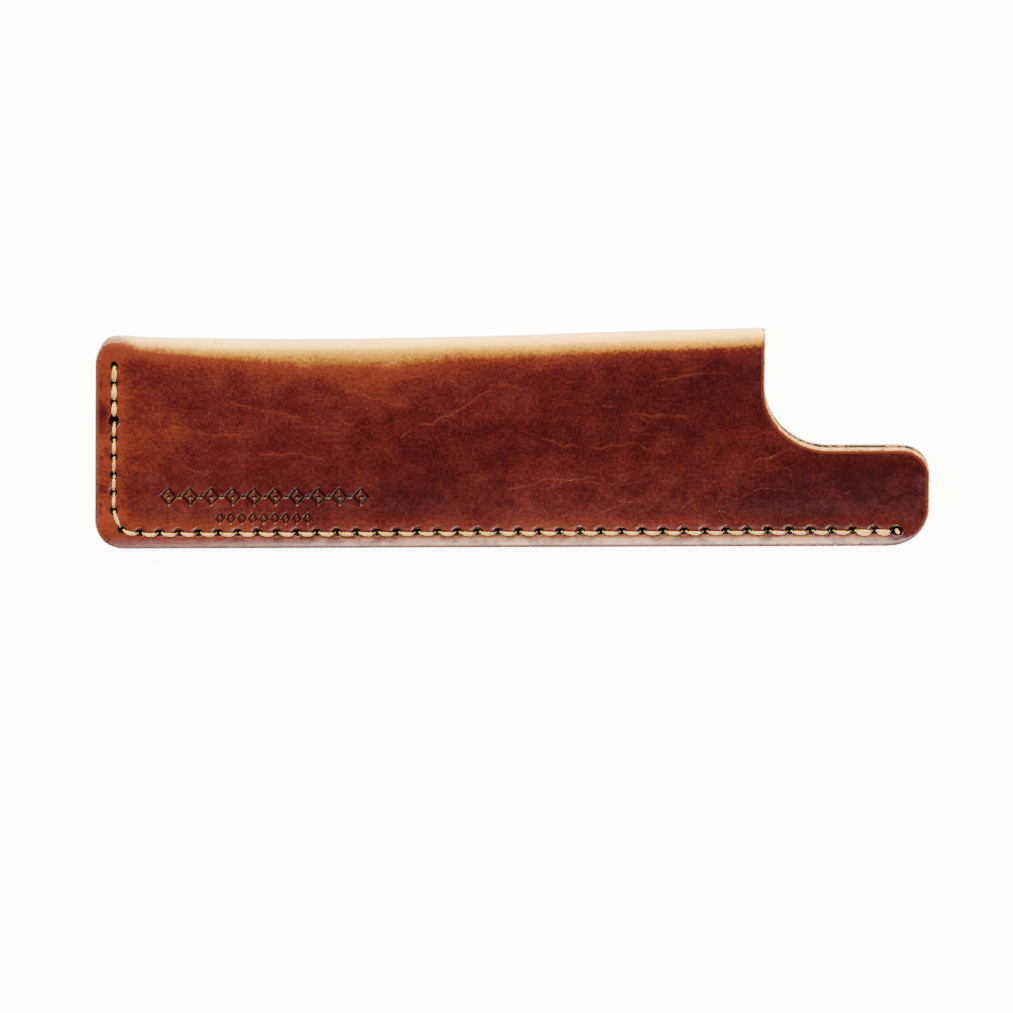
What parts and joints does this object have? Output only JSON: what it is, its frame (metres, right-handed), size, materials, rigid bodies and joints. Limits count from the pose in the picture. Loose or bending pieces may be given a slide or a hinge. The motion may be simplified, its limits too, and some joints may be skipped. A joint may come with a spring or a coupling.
{
  "type": "beard comb in leather sheath",
  "caption": "Flat steel beard comb in a folded leather sheath, sewn down its closed end and bottom edge, with a finger notch at the mouth. The comb slides out of the open end.",
  "frame": {"origin": "under the middle of the sheath's box, on the back face that it lies on", "axes": "+X along the sheath from its closed end to its open end, +Y towards the fold, +Z out of the front face"},
  "size_m": [0.1506, 0.0416, 0.005],
  "materials": {
    "leather": "glossy red-brown pull-up leather, lighter where it is bent, grazed or pierced",
    "thread": "cream waxed twisted thread",
    "steel": "satin, brushed lengthways"
  },
  "bodies": {
    "sheath": {"sheath_leather": "leather", "needle_thread": "thread", "bobbin_thread": "thread"},
    "comb": {"comb": "steel"}
  },
  "joints": [
    {"name": "comb_slide", "type": "slide", "parent": "sheath", "child": "comb", "axis": [1, 0, 0], "range_m": [0, 0.15]}
  ]
}
